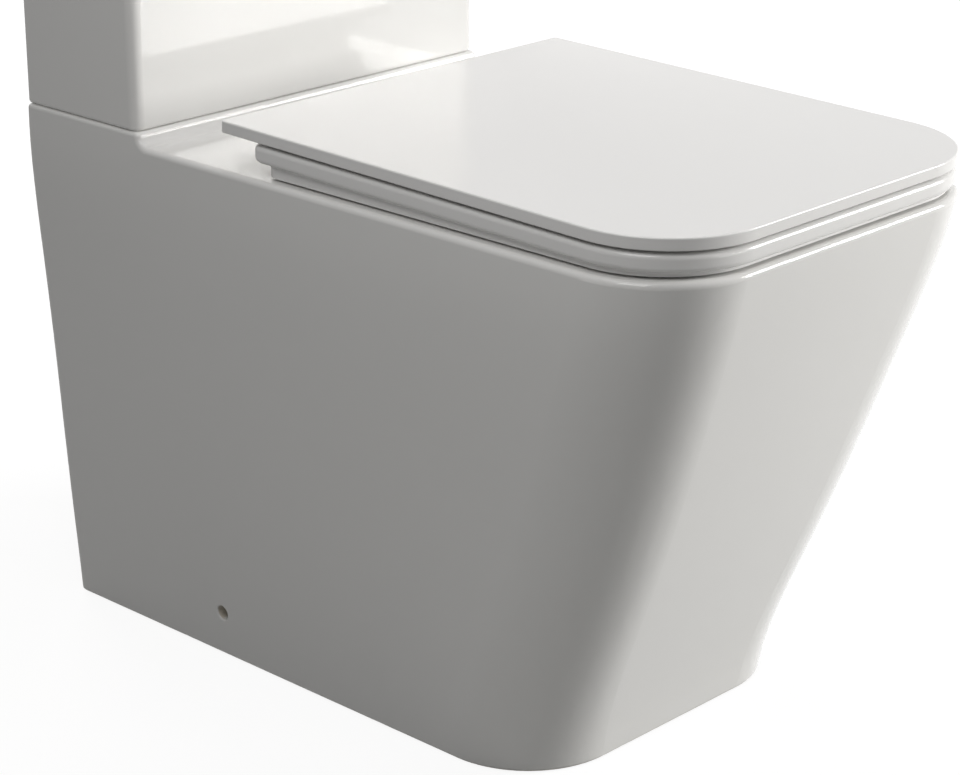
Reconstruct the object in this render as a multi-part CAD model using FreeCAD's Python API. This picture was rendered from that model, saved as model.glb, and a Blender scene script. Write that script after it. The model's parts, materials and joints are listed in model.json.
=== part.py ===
"""Floor-standing, close-coupled toilet with a box cistern and a slim hinged seat.

Lengths are in millimetres, +Z is up and the front faces -Y.
The origin is on the floor, midway between the wall and the front of the rim.
Places along Y are given as a distance from the wall.
"""
import FreeCAD
import Part
import math
import os

from FreeCAD import Vector

# Outer form of the pan
pan_reach = 666.0
base_reach = 520.5
rim_width = 372.0
side_taper = 28.5
deck_height = 420.0
platform_step = 10.0
platform_lip = 2.0
rim_band = 28.0
band_setback = 8.0
foot_height = 45.0
foot_reach = 531.0
knee_height = 150.0
knee_reach = 572.5
waist_height = 300.0
waist_reach = 628.0
front_radius_top = 79.0
front_radius_base = 78.0
rear_radius = 3.5
deck_edge_radius = 4.5
skirt_corner_radius = 9.0
edge_margin = 0.2

# Walls of the pan
pan_wall = 12.0
deck_thickness = 15.0
bowl_wall = 10.0

# Bowl
rim_front_width = 37.0
bowl_mouth_width = 250.0
bowl_mouth_rear = 337.0
bowl_mouth_straight = 60.0
bowl_waist_depth = 125.0
bowl_waist_width = 222.0
bowl_waist_rear = 343.0
bowl_waist_length = 253.0
bowl_waist_straight = 42.0
sump_depth = 270.0
sump_width = 120.0
sump_rear = 348.0
sump_length = 150.0
sump_straight = 16.0
sump_floor_depth = 338.0
sump_floor_width = 80.0
sump_floor_rear = 356.0
sump_floor_length = 80.0
sump_floor_straight = 20.0
mouth_edge_radius = 5.0

# Trap and waste outlet
trap_bore = 74.0
trap_wall = 10.0
trap_inlet_rise = 46.0
trap_turn_gap = 16.0
trap_climb_run = 84.0
trap_crown_rise = 46.0
trap_fall_run = 70.0
trap_bend_margin = 5.0
outlet_height = 180.0
outlet_diameter = 102.0
outlet_wall = 9.0
outlet_length = 60.0
outlet_wall_gap = 15.0

# Flush channel inside the pan
channel_width = 60.0
channel_height = 36.0
channel_wall = 10.0
channel_roof = 7.0
inlet_gap = 4.0
gasket_width = 7.0
gasket_height = 18.0

# Holes in the pan
side_hole_diameter = 12.0
side_hole_distance = 184.5
side_hole_height = 38.0
side_hole_edge_radius = 1.2
access_gap = 5.4

# Cistern tank
tank_side_setback = 1.0
tank_depth = 133.0
tank_height = 352.0
tank_wall = 9.0
tank_floor = 12.0
tank_edge_radius = 9.0
tank_rear_radius = 3.5
tank_inner_radius = 6.0
wall_screw_diameter = 7.0
wall_screw_spacing = 240.0
wall_screw_height = 270.0

# Cistern cover
cover_overhang = 3.0
cover_thickness = 12.0
cover_skirt = 18.0
cover_lip_depth = 10.0
cover_lip_width = 5.0
cover_lip_gap = 2.0
cover_edge_radius = 6.0

# Buttons
button_hole_diameter = 42.0
bezel_fit = 0.2
rod_fit = 0.4
bezel_flange_diameter = 58.0
bezel_flange_height = 3.0
bezel_barrel_length = 34.0
bezel_wall = 2.8
bezel_nut_diameter = 60.0
bezel_nut_height = 8.0
button_height = 14.0
button_gap = 0.4
button_split_offset = 3.0
button_recess = 1.0
button_edge_radius = 0.8
rod_diameter = 5.0
rod_spacing = 18.0
rod_gap = 1.5
bezel_guide_height = 4.0

# Flush valve
spigot_diameter = 54.0
spigot_wall = 4.0
spigot_length = 26.0
flange_margin = 4.0
flange_height = 6.0
seal_thickness = 3.0
valve_nut_diameter = 88.0
valve_nut_height = 10.0
seat_lip_margin = 2.0
seat_lip_height = 4.0
tower_wall = 4.0
tower_height = 186.0
tower_plate = 4.0
window_width = 30.0
window_height = 44.0
window_sill = 6.0
upper_window_height = 30.0
lift_tube_diameter = 34.0
lift_tube_wall = 3.0
lift_tube_headroom = 28.0
plunger_gap = 4.0
plunger_height = 4.0
washer_height = 5.0
rest_gap = 0.2
valve_float_gap = 1.5
valve_float_height = 55.0
valve_float_headroom = 60.8
collar_height = 3.0
collar_width = 2.0
stem_diameter = 6.0
stem_head_diameter = 9.0
stem_head_height = 3.0
stem_head_gap = 0.4
stem_fit = 0.6
stem_seat_depth = 6.0
stem_cover = 1.1

# Rockers on the flush valve
rocker_press_arm = 12.0
rocker_lift_arm = 16.0
rocker_thickness = 4.0
rocker_width = 12.0
fork_fit = 0.5
fork_depth = 5.0
rocker_hub_diameter = 7.0
rocker_pin_diameter = 3.0
rocker_pin_height = 12.0
ear_width = 3.5
ear_depth = 8.0
ear_gap = 0.5
slider_foot_diameter = 8.0
slider_foot_height = 4.0
slider_length = 32.0
slider_collar_height = 2.0

# Fill valve
fill_wall_gap = 51.0
tail_diameter = 20.6
tail_length = 30.0
shank_diameter = 22.0
fill_bore = 11.0
fill_flange_diameter = 34.0
fill_flange_height = 4.0
riser_diameter = 26.0
riser_height = 190.0
fill_nut_flats = 34.0
fill_nut_height = 12.0
fill_head_diameter = 46.0
fill_head_height = 34.0
float_diameter = 60.0
float_height = 70.0
float_bore_gap = 0.5
float_seat_height = 86.0
float_stop_height = 5.0
float_stop_width = 4.0
float_travel = 14.0
float_ear_thickness = 5.0
float_edge_radius = 4.0
link_diameter = 5.0
link_gap = 2.0
link_standoff = 4.0
fill_arm_tail = 8.0
fill_arm_end = 5.0
fill_pivot_offset = 10.0
fill_pivot_rise = 15.0
fill_lever_thickness = 4.0
fill_lever_width = 9.0
fill_ear_thickness = 3.0
fill_pin_diameter = 3.0

# Bolts that hold the cistern on the pan
bolt_diameter = 8.0
bolt_hole_diameter = 12.0
bolt_head_flats = 13.0
bolt_head_height = 5.5
rubber_washer_diameter = 28.0
rubber_washer_height = 4.0
steel_washer_diameter = 24.0
steel_washer_height = 1.6
wing_nut_diameter = 15.0
wing_nut_height = 8.0
wing_span = 34.0
wing_thickness = 4.0
wing_height = 12.0
bolt_tail = 6.0

# Seat
hinge_setback = 109.0
hinge_height = 20.0
seat_side_setback = 2.7
seat_setback = 1.5
seat_front_radius = 80.0
lid_tail = 14.5
lid_rear_radius = 4.0
lid_thickness = 9.2
lid_knuckle_gap = 1.5
lid_top_radius = 1.2
lid_under_radius = 1.0
ring_gap = 2.4
ring_thickness = 13.4
ring_front_gap = 4.8
ring_inset = 0.6
ring_rear_gap = 16.0
ring_rear_radius = 12.0
ring_edge_radius = 4.0
ring_side_width = 70.0
ring_front_width = 52.0
ring_back_width = 84.5
ring_opening_straight = 49.4
skirt_inset = 5.0
skirt_rear_inset = 13.0
skirt_clearance = 2.0
pad_gap = 0.2
ring_pad_length = 24.0
ring_pad_width = 12.0
ring_pad_depth = 2.0
ring_pad_inset = 26.0
ring_pad_rear_inset = 42.0
ring_pad_front_inset = 84.5
lid_pad_diameter = 12.0
lid_pad_depth = 1.5
lid_pad_inset = 30.0
lid_pad_rear_inset = 90.0
lid_pad_front_inset = 104.5

# Seat hinges
hinge_spacing = 155.0
hinge_disc_diameter = 36.0
hinge_disc_height = 2.5
post_width = 23.0
post_depth = 9.0
knuckle_diameter = 13.0
side_gap = 0.5
ring_arm_width = 24.0
ring_arm_reach = 44.0
ring_arm_fit = 0.1
lug_width = 16.0
hinge_pin_diameter = 8.0
hinge_pin_fit = 0.05
pin_end_gap = 1.0
pin_wall = 4.0
pin_web = 3.0
stud_diameter = 6.0
stud_length = 34.0
stud_grip = 8.0
stud_hole_diameter = 15.0
sleeve_fit = 0.1
hinge_nut_flats = 20.0
hinge_nut_height = 8.0

# Fits
fixed_fit = 0.02
pivot_fit = 0.05
hole_gap = 0.5

# Working values
same_place = 0.01
overcut = 1.0

# Levels and places that follow from the sizes
wall_y = pan_reach / 2
base_width = rim_width - 2 * side_taper
platform_top = deck_height + platform_step
deck_under = deck_height - deck_thickness
plan_edge_radius = rear_radius - edge_margin
tank_width = rim_width - 2 * tank_side_setback
tank_middle = tank_depth / 2
tank_bottom_radius = tank_rear_radius - edge_margin
sump_floor_level = deck_height - sump_floor_depth
trap_outer = trap_bore + 2 * trap_wall
trap_bend_radius = trap_outer / 2 + trap_bend_margin
outlet_bore = outlet_diameter - 2 * outlet_wall
inlet_hole_diameter = spigot_diameter + 2 * inlet_gap
gasket_bore = valve_nut_diameter + 2 * hole_gap
gasket_diameter = gasket_bore + 2 * gasket_width
gasket_recess_diameter = gasket_diameter + 2 * hole_gap
valve_access_diameter = fill_nut_flats * 2 / math.sqrt(3) + 2 * access_gap
bezel_barrel = button_hole_diameter - 2 * bezel_fit
bezel_bore = bezel_barrel - 2 * bezel_wall
spigot_bore = spigot_diameter - 2 * spigot_wall
seat_lip_diameter = spigot_diameter + 2 * seat_lip_margin
platform_reach = tank_depth + platform_lip
floor_top = platform_top + tank_floor
tank_top = platform_top + tank_height
cover_top = tank_top + cover_skirt + cover_thickness
hinge_distance = tank_depth + hinge_setback
hinge_z = deck_height + hinge_height
flange_top = floor_top + seal_thickness + flange_height
tower_top = flange_top + tower_height
rocker_z = tower_top + rocker_pin_height
rocker_pivot = tank_middle + rocker_press_arm
stem_distance = rocker_pivot + rocker_lift_arm
stem_circle = math.hypot(rod_spacing / 2, stem_distance - tank_middle)
valve_float_diameter = 2 * stem_circle + stem_diameter + 2 * stem_cover
tower_bore = valve_float_diameter + 2 * valve_float_gap
tower_diameter = tower_bore + 2 * tower_wall
flange_diameter = tower_diameter + 2 * flange_margin
plunger_diameter = tower_bore - 2 * plunger_gap
washer_bottom = flange_top + seat_lip_height + rest_gap
lift_tube_top = tower_top - tower_plate - lift_tube_headroom
valve_float_top = tower_top - tower_plate - valve_float_headroom
valve_float_bottom = valve_float_top - valve_float_height
middle_ear_width = rod_spacing - rocker_width - 2 * ear_gap
outer_ear_x = rod_spacing / 2 + rocker_width / 2 + ear_gap
fill_offset = tank_width / 2 - tank_wall - fill_wall_gap
bolt_offset = (flange_diameter / 2 + fill_offset - fill_flange_diameter / 2) / 2
riser_top = floor_top + seal_thickness + fill_flange_height + riser_height
head_top = riser_top + fill_head_height
fill_pivot_x = fill_pivot_offset - fill_offset
fill_pivot_z = head_top + fill_pivot_rise
float_bottom = floor_top + float_seat_height + rest_gap
float_top = float_bottom + float_height
link_x = -fill_offset - float_diameter / 2 - link_standoff
fill_arm = fill_pivot_x - link_x
wing_nut_top = deck_under - steel_washer_height
bolt_end = wing_nut_top - wing_nut_height - bolt_tail
seat_width = rim_width - 2 * seat_side_setback
seat_reach = pan_reach - seat_setback
lid_rear_distance = hinge_distance - lid_tail
lid_bottom = hinge_z + knuckle_diameter / 2 + lid_knuckle_gap
lid_top = lid_bottom + lid_thickness
ring_rear_distance = hinge_distance + ring_rear_gap
ring_top = lid_bottom - ring_gap
ring_bottom = ring_top - ring_thickness
seat_fall = ring_bottom - deck_height - ring_front_gap
seat_slope = math.degrees(math.atan2(seat_fall, seat_reach - hinge_distance))
skirt_bottom = deck_height + skirt_clearance
post_x0 = hinge_spacing / 2 - post_width / 2
post_x1 = post_x0 + post_width
arm_x0 = post_x1 + side_gap
arm_x1 = arm_x0 + ring_arm_width
arm_middle = (arm_x0 + arm_x1) / 2
lug_x0 = arm_x1 + side_gap
lug_x1 = lug_x0 + lug_width


def y_at(distance):
    """Y of a place that lies this far from the wall."""
    return wall_y - distance


def block(x0, x1, near, far, z0, z1):
    """Box between two distances from the wall."""
    return Part.makeBox(x1 - x0, far - near, z1 - z0, Vector(x0, y_at(far), z0))


def disc(x, distance, z0, z1, diameter):
    """Upright round bar."""
    return Part.makeCylinder(diameter / 2, z1 - z0, Vector(x, y_at(distance), z0))


def pipe(x, distance, z0, z1, outer, inner):
    """Upright tube."""
    return disc(x, distance, z0, z1, outer).cut(disc(x, distance, z0, z1, inner))


def bar_x(x0, x1, distance, z, diameter):
    """Round bar along X."""
    return Part.makeCylinder(diameter / 2, x1 - x0, Vector(x0, y_at(distance), z), Vector(1, 0, 0))


def bar_y(x, near, far, z, diameter):
    """Round bar along Y."""
    return Part.makeCylinder(diameter / 2, far - near, Vector(x, y_at(far), z), Vector(0, 1, 0))


def hexagon(x, distance, z0, z1, flats):
    """Upright hexagonal bar with the given width across flats."""
    radius = flats / math.sqrt(3)
    points = []
    for step in range(7):
        angle = math.radians(60 * step)
        points.append(Vector(x + radius * math.cos(angle), y_at(distance) + radius * math.sin(angle), z0))
    face = Part.Face(Part.makePolygon(points))
    return face.extrude(Vector(0, 0, z1 - z0))


def corner(x, y, z, radius, start):
    """Quarter arc about a centre, starting at an angle in degrees."""
    points = []
    for angle in (start, start + 45, start + 90):
        turn = math.radians(angle)
        points.append(Vector(x + radius * math.cos(turn), y + radius * math.sin(turn), z))
    return Part.Arc(points[0], points[1], points[2]).toShape()


def outline(half, near, far, near_radius, far_radius, z):
    """Rounded rectangle in plan, mirrored about X = 0."""
    back = y_at(near)
    front = y_at(far)
    arcs = [
        corner(half - near_radius, back - near_radius, z, near_radius, 0),
        corner(near_radius - half, back - near_radius, z, near_radius, 90),
        corner(far_radius - half, front + far_radius, z, far_radius, 180),
        corner(half - far_radius, front + far_radius, z, far_radius, 270),
    ]
    edges = []
    for index in range(4):
        arc = arcs[index]
        following = arcs[(index + 1) % 4]
        edges.append(arc)
        edges.append(Part.makeLine(arc.lastVertex(True).Point, following.firstVertex(True).Point))
    return Part.Wire(edges)


def plate(half, near, far, near_radius, far_radius, z0, z1):
    """Flat plate with a rounded rectangular plan."""
    face = Part.Face(outline(half, near, far, near_radius, far_radius, z0))
    return face.extrude(Vector(0, 0, z1 - z0))


def mirrored(shape):
    """Copy on the other side of the middle plane."""
    return shape.mirror(Vector(0, 0, 0), Vector(1, 0, 0))


def pair(shape):
    """The shape and its copy on the other side."""
    return Part.makeCompound([shape, mirrored(shape)])


def flat_edges(shape, z):
    """Edges that lie in a level plane."""
    found = []
    for edge in shape.Edges:
        box = edge.BoundBox
        if abs(box.ZMin - z) < same_place and abs(box.ZMax - z) < same_place:
            found.append(edge)
    return found


def sloped(shape):
    """Turn a seat piece, modelled level, down towards the front."""
    turned = shape.copy()
    turned.rotate(Vector(0, y_at(hinge_distance), hinge_z), Vector(1, 0, 0), seat_slope)
    return turned


def save(shape, name):
    """Write one piece, or one group of like pieces."""
    shape.exportStep("parts/" + name + ".step")
    print(name, len(shape.Solids), "solids", round(shape.Volume / 1000, 2), "cm3", shape.isValid())


def half_width(z):
    """Half the width of the pan, straight up to the band under the rim."""
    band_start = deck_height - rim_band
    share = min(z / band_start, 1.0)
    return (base_width + (rim_width - base_width) * share) / 2


def front_radius(z):
    """Plan radius of the pan's front corners."""
    return front_radius_base + (front_radius_top - front_radius_base) * z / platform_top


def pan_levels():
    """Height and reach of each section of the pan's outer form."""
    return [
        (0.0, base_reach),
        (foot_height, foot_reach),
        (knee_height, knee_reach),
        (waist_height, waist_reach),
        (deck_height - rim_band, pan_reach - band_setback),
        (platform_top, pan_reach),
    ]


def make_outer():
    """Solid outer form of the pan with its deck and platform."""
    wires = []
    for z, reach in pan_levels():
        wires.append(outline(half_width(z), 0, reach, rear_radius, front_radius(z), z))
    body = Part.makeLoft(wires, True, False)
    step = block(-rim_width, rim_width, platform_reach, pan_reach * 2, deck_height, platform_top * 2)
    rear_edges = []
    for edge in step.Edges:
        middle = edge.CenterOfMass
        if abs(middle.z - deck_height) < same_place and abs(middle.y - y_at(platform_reach)) < same_place:
            rear_edges.append(edge)
    step = step.makeFillet(platform_step, rear_edges)
    body = body.cut(step)
    body = body.makeFillet(deck_edge_radius, deck_rim_edges(body))
    body = body.makeFillet(plan_edge_radius, flat_edges(body, platform_top))
    body = body.makeFillet(plan_edge_radius, flat_edges(body, 0.0))
    radius = skirt_corner_radius
    foot_corner = block(-rim_width, rim_width, -overcut, radius, -overcut, radius)
    return body.cut(foot_corner.cut(bar_x(-rim_width, rim_width, radius, radius, 2 * radius)))


def make_hollow():
    """Space inside the pan's outer walls, open below and at the back."""
    wires = []
    for z, reach in pan_levels():
        radius = front_radius(z) - pan_wall
        half = half_width(z) - pan_wall
        wires.append(outline(half, -pan_wall, reach - pan_wall, rear_radius, radius, z))
    space = Part.makeLoft(wires, True, False)
    top = block(-rim_width, rim_width, -pan_reach, pan_reach * 2, deck_under, platform_top * 2)
    return space.cut(top)


def make_bowl(wall):
    """Bowl form, grown on all sides by a wall."""
    mouth_length = pan_reach - rim_front_width - bowl_mouth_rear
    waist_level = deck_height - bowl_waist_depth
    rows = [
        (deck_height, bowl_mouth_width, bowl_mouth_rear, mouth_length, bowl_mouth_straight),
        (waist_level, bowl_waist_width, bowl_waist_rear, bowl_waist_length, bowl_waist_straight),
        (deck_height - sump_depth, sump_width, sump_rear, sump_length, sump_straight),
        (sump_floor_level - wall, sump_floor_width, sump_floor_rear, sump_floor_length, sump_floor_straight),
    ]
    wires = []
    for level, width, rear, length, straight in reversed(rows):
        radius = (min(width, length) - straight) / 2 + wall
        wires.append(outline(width / 2 + wall, rear - wall, rear + length + wall, radius, radius, level))
    return Part.makeLoft(wires, True, False)


def trap_path():
    """Middle line of the trap, straight runs joined by tangent arcs."""
    inlet_z = sump_floor_level + trap_inlet_rise
    turn_distance = sump_floor_rear - trap_turn_gap
    crown_distance = turn_distance - trap_climb_run
    corners = [
        (sump_floor_rear + sump_floor_length / 2, inlet_z),
        (turn_distance, inlet_z),
        (crown_distance, outlet_height + trap_crown_rise),
        (crown_distance - trap_fall_run, outlet_height),
        (outlet_wall_gap, outlet_height),
    ]
    points = [Vector(0, y_at(distance), z) for distance, z in corners]
    edges = []
    start = points[0]
    for index in range(1, len(points) - 1):
        into = (points[index] - points[index - 1]).normalize()
        onto = (points[index + 1] - points[index]).normalize()
        half_turn = into.getAngle(onto) / 2
        setback = trap_bend_radius * math.tan(half_turn)
        first = points[index] - into * setback
        last = points[index] + onto * setback
        inward = (onto - into).normalize()
        centre = points[index] + inward * (trap_bend_radius / math.cos(half_turn))
        middle = centre - inward * trap_bend_radius
        edges.append(Part.makeLine(start, first))
        edges.append(Part.Arc(first, middle, last).toShape())
        start = last
    edges.append(Part.makeLine(start, points[-1]))
    return Part.Wire(edges)


def make_trap(diameter):
    """Round passage along the trap's middle line."""
    path = trap_path()
    start = path.Edges[0].firstVertex(True).Point
    ring = Part.makeCircle(diameter / 2, start, Vector(0, 1, 0))
    return path.makePipeShell([Part.Wire(ring)], True, False)


def make_channel(wall):
    """Flush channel from under the cistern to the bowl, grown by a wall."""
    roof = deck_under - channel_roof
    half = channel_width / 2 + wall
    return block(-half, half, tank_middle - inlet_hole_diameter / 2 - wall, bowl_mouth_rear + bowl_wall,
                 roof - channel_height - wall, roof + wall)


def make_inlet():
    """Round way for the water from the cistern down into the flush channel."""
    return disc(0, tank_middle, deck_under - channel_roof - channel_height, platform_top, inlet_hole_diameter)


def make_pan():
    """Skirt, deck and platform of the pan."""
    body = make_outer().cut(make_hollow())
    body = body.cut(make_bowl(0.0))
    body = body.makeFillet(mouth_edge_radius, mouth_edges(body))
    low = deck_under - overcut
    high = platform_top + overcut
    body = body.cut(disc(0, tank_middle, platform_top - gasket_height, high, gasket_recess_diameter))
    body = body.cut(make_inlet())
    body = body.cut(disc(-fill_offset, tank_middle, low, high, valve_access_diameter))
    for side in (-1, 1):
        body = body.cut(disc(side * bolt_offset, tank_middle, low, high, bolt_hole_diameter))
        body = body.cut(disc(side * hinge_spacing / 2, hinge_distance, low, high, stud_hole_diameter))
    body = body.cut(bar_x(-rim_width, rim_width, side_hole_distance, side_hole_height, side_hole_diameter))
    return body.makeFillet(side_hole_edge_radius, side_hole_edges(body))


def make_bowl_china():
    """Bowl, trap, waste outlet and flush channel of the pan, up to the underside of the deck."""
    outlet_start = outlet_wall_gap + outlet_length
    body = make_bowl(bowl_wall).fuse(make_trap(trap_outer)).fuse(make_channel(channel_wall))
    body = body.fuse(bar_y(0, outlet_wall_gap, outlet_start, outlet_height, outlet_diameter))
    body = body.common(make_hollow())
    body = body.cut(make_bowl(0.0)).cut(make_trap(trap_bore)).cut(make_channel(0.0)).cut(make_inlet())
    return body.cut(bar_y(0, 0, outlet_start - trap_wall, outlet_height, outlet_bore))


def side_hole_edges(body):
    """Edges of the side holes in the outer face of the skirt."""
    reach = side_hole_diameter
    inner_half = half_width(side_hole_height) - pan_wall / 2
    found = []
    for edge in body.Edges:
        box = edge.BoundBox
        near_y = abs(box.Center.y - y_at(side_hole_distance)) < reach
        near_z = abs(box.Center.z - side_hole_height) < reach
        if near_y and near_z and abs(box.Center.x) > inner_half and box.ZLength > box.XLength:
            found.append(edge)
    return found


def deck_rim_edges(body):
    """Outer edges of the deck, from one side of the platform round the front to the other."""
    found = []
    for edge in flat_edges(body, deck_height):
        middle = edge.valueAt((edge.FirstParameter + edge.LastParameter) / 2)
        if middle.y < y_at(platform_reach + platform_step) - same_place:
            found.append(edge)
    return found


def make_tank():
    """Open china box that stands on the platform."""
    half = tank_width / 2
    body = plate(half, 0, tank_depth, tank_rear_radius, tank_edge_radius, platform_top, tank_top)
    body = body.makeFillet(tank_bottom_radius, flat_edges(body, platform_top))
    body = body.cut(plate(half - tank_wall, tank_wall, tank_depth - tank_wall, tank_inner_radius,
                          tank_inner_radius, floor_top, tank_top + overcut))
    spigot_hole = spigot_diameter + 2 * hole_gap
    body = body.cut(disc(0, tank_middle, platform_top, floor_top, spigot_hole))
    tail_hole = shank_diameter + 2 * hole_gap
    body = body.cut(disc(-fill_offset, tank_middle, platform_top, floor_top, tail_hole))
    screw_z = platform_top + wall_screw_height
    for side in (-1, 1):
        body = body.cut(disc(side * bolt_offset, tank_middle, platform_top, floor_top, bolt_hole_diameter))
        body = body.cut(bar_y(side * wall_screw_spacing / 2, 0, tank_wall, screw_z, wall_screw_diameter))
    return body


def make_cover():
    """China cover with a lip that drops inside the tank."""
    half = tank_width / 2 + cover_overhang
    radius = tank_edge_radius + cover_overhang
    body = plate(half, 0, tank_depth + cover_overhang, tank_rear_radius, radius, tank_top, cover_top)
    body = body.makeFillet(cover_edge_radius, flat_edges(body, cover_top))
    lip_inset = tank_wall + cover_lip_gap
    hollow_inset = lip_inset + cover_lip_width
    lip_bottom = tank_top - cover_lip_depth
    lip = plate(tank_width / 2 - lip_inset, lip_inset, tank_depth - lip_inset, tank_inner_radius,
                tank_inner_radius, lip_bottom, tank_top + cover_skirt / 2)
    hollow = plate(tank_width / 2 - hollow_inset, hollow_inset, tank_depth - hollow_inset, tank_inner_radius,
                   tank_inner_radius, lip_bottom, tank_top + cover_skirt)
    body = body.fuse(lip).cut(hollow)
    body = body.cut(disc(0, tank_middle, tank_top, cover_top, button_hole_diameter))
    return body.removeSplitter()


def make_bezel():
    """Flanged barrel that guides both buttons and their rods."""
    barrel_bottom = cover_top - bezel_barrel_length
    body = disc(0, tank_middle, barrel_bottom, cover_top + bezel_flange_height, bezel_barrel)
    flange = disc(0, tank_middle, cover_top, cover_top + bezel_flange_height, bezel_flange_diameter)
    flange = flange.makeFillet(bezel_flange_height / 2, flat_edges(flange, cover_top + bezel_flange_height))
    body = body.fuse(flange)
    guide_top = barrel_bottom + bezel_guide_height
    body = body.cut(disc(0, tank_middle, guide_top, cover_top + 2 * bezel_flange_height, bezel_bore))
    for side in (-1, 1):
        body = body.cut(disc(side * rod_spacing / 2, tank_middle, barrel_bottom, guide_top,
                             rod_diameter + 2 * rod_fit))
    return body.removeSplitter()


def make_bezel_nut():
    """Round nut that clamps the bezel from below."""
    top = cover_top - cover_thickness
    return pipe(0, tank_middle, top - bezel_nut_height, top, bezel_nut_diameter, bezel_barrel + 2 * fixed_fit)


def button_levels():
    """Underside and top of both buttons."""
    top = cover_top + bezel_flange_height - button_recess
    return top - button_height, top


def make_button(x0, x1):
    """Part of the round button face between two places along X."""
    bottom, top = button_levels()
    face = disc(0, tank_middle, bottom, top, bezel_bore - 2 * button_gap)
    body = face.common(block(x0, x1, 0, tank_depth, bottom, top))
    return body.makeFillet(button_edge_radius, flat_edges(body, top))


def make_rod(x):
    """Push rod from a button down to its rocker."""
    top = button_levels()[0]
    return disc(x, tank_middle, rocker_z + rocker_thickness / 2 + rod_gap, top, rod_diameter)


def about_valve(shape):
    """Copy turned half round the flush valve's upright axis."""
    turned = shape.copy()
    turned.rotate(Vector(0, y_at(tank_middle), 0), Vector(0, 0, 1), 180)
    return turned


def make_valve_base():
    """Threaded spigot with flange and raised sealing lip."""
    bottom = platform_top - spigot_length
    body = disc(0, tank_middle, bottom, flange_top, spigot_diameter)
    body = body.fuse(disc(0, tank_middle, flange_top - flange_height, flange_top, flange_diameter))
    body = body.fuse(disc(0, tank_middle, flange_top, flange_top + seat_lip_height, seat_lip_diameter))
    body = body.cut(disc(0, tank_middle, bottom, flange_top + seat_lip_height, spigot_bore))
    return body.removeSplitter()


def make_tower():
    """Cage of the flush valve with windows, top plate and rocker ears."""
    body = pipe(0, tank_middle, flange_top, tower_top, tower_diameter, tower_bore)
    reach = tower_diameter
    side = window_width / 2
    low_start = flange_top + window_sill
    high_end = tower_top - tower_plate - window_sill
    for z0, z1 in ((low_start, low_start + window_height), (high_end - upper_window_height, high_end)):
        body = body.cut(block(-reach, reach, tank_middle - side, tank_middle + side, z0, z1))
        body = body.cut(block(-side, side, tank_middle - reach, tank_middle + reach, z0, z1))
    top = disc(0, tank_middle, tower_top - tower_plate, tower_top, tower_diameter)
    ear_top = rocker_z + ear_depth / 2
    near = rocker_pivot - ear_depth / 2
    far = rocker_pivot + ear_depth / 2
    half_ear = middle_ear_width / 2
    ears = block(-outer_ear_x - ear_width, -outer_ear_x, near, far, tower_top - tower_plate, ear_top)
    ears = ears.fuse(block(-half_ear, half_ear, near, far, tower_top - tower_plate, ear_top))
    ears = ears.cut(bar_x(-tower_diameter, half_ear, rocker_pivot, rocker_z,
                          rocker_pin_diameter + 2 * fixed_fit))
    body = body.fuse(top).fuse(ears).fuse(about_valve(ears))
    stem_hole = disc(-rod_spacing / 2, stem_distance, tower_top - tower_plate, tower_top,
                     stem_diameter + 2 * stem_fit)
    body = body.cut(stem_hole).cut(about_valve(stem_hole))
    return body.removeSplitter()


def make_rocker_pin():
    """Pin of the full-flush rocker."""
    return bar_x(-outer_ear_x - ear_width, middle_ear_width / 2, rocker_pivot, rocker_z, rocker_pin_diameter)


def make_rocker():
    """Full-flush rocker, pressed at the middle of the valve and forked round the stem."""
    x0 = -rod_spacing / 2 - rocker_width / 2
    x1 = x0 + rocker_width
    half = rocker_thickness / 2
    press = tank_middle - half
    body = block(x0, x1, press, stem_distance, rocker_z - half, rocker_z + half)
    body = body.fuse(bar_x(x0, x1, press, rocker_z, rocker_thickness))
    body = body.fuse(bar_x(x0, x1, stem_distance, rocker_z, rocker_thickness))
    body = body.fuse(bar_x(x0, x1, rocker_pivot, rocker_z, rocker_hub_diameter))
    body = body.cut(bar_x(x0, x1, rocker_pivot, rocker_z, rocker_pin_diameter + 2 * pivot_fit))
    slot = stem_diameter / 2 + fork_fit
    middle = -rod_spacing / 2
    slot_start = stem_distance - stem_diameter / 2 - fork_depth
    body = body.cut(block(middle - slot, middle + slot, slot_start, stem_distance + rocker_thickness,
                          rocker_z - rocker_hub_diameter, rocker_z + rocker_hub_diameter))
    return body.removeSplitter()


def stem_head_bottom():
    """Underside of the heads that the rockers lift."""
    return rocker_z + rocker_thickness / 2 + stem_head_gap


def make_stem(bottom):
    """Upright stem with a head above the rocker's fork."""
    low = stem_head_bottom()
    stem = disc(-rod_spacing / 2, stem_distance, bottom, low, stem_diameter)
    head = disc(-rod_spacing / 2, stem_distance, low, low + stem_head_height, stem_head_diameter)
    return stem.fuse(head).removeSplitter()


def make_lift_tube():
    """Overflow tube with the plate that carries the sealing washer."""
    plate_bottom = washer_bottom + washer_height
    body = disc(0, tank_middle, washer_bottom, lift_tube_top, lift_tube_diameter)
    body = body.fuse(disc(0, tank_middle, plate_bottom, plate_bottom + plunger_height, plunger_diameter))
    body = body.fuse(disc(0, tank_middle, valve_float_bottom - collar_height, valve_float_bottom,
                          lift_tube_diameter + 2 * collar_width))
    bore = lift_tube_diameter - 2 * lift_tube_wall
    body = body.cut(disc(0, tank_middle, washer_bottom, lift_tube_top, bore))
    return body.removeSplitter()


def make_valve_float():
    """Float round the tube, with a seat for the stem that the full-flush rocker lifts."""
    body = pipe(0, tank_middle, valve_float_bottom, valve_float_top, valve_float_diameter,
                lift_tube_diameter + 2 * fixed_fit)
    return body.cut(disc(-rod_spacing / 2, stem_distance, valve_float_top - stem_seat_depth, valve_float_top,
                         stem_diameter + 2 * fixed_fit))


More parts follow.
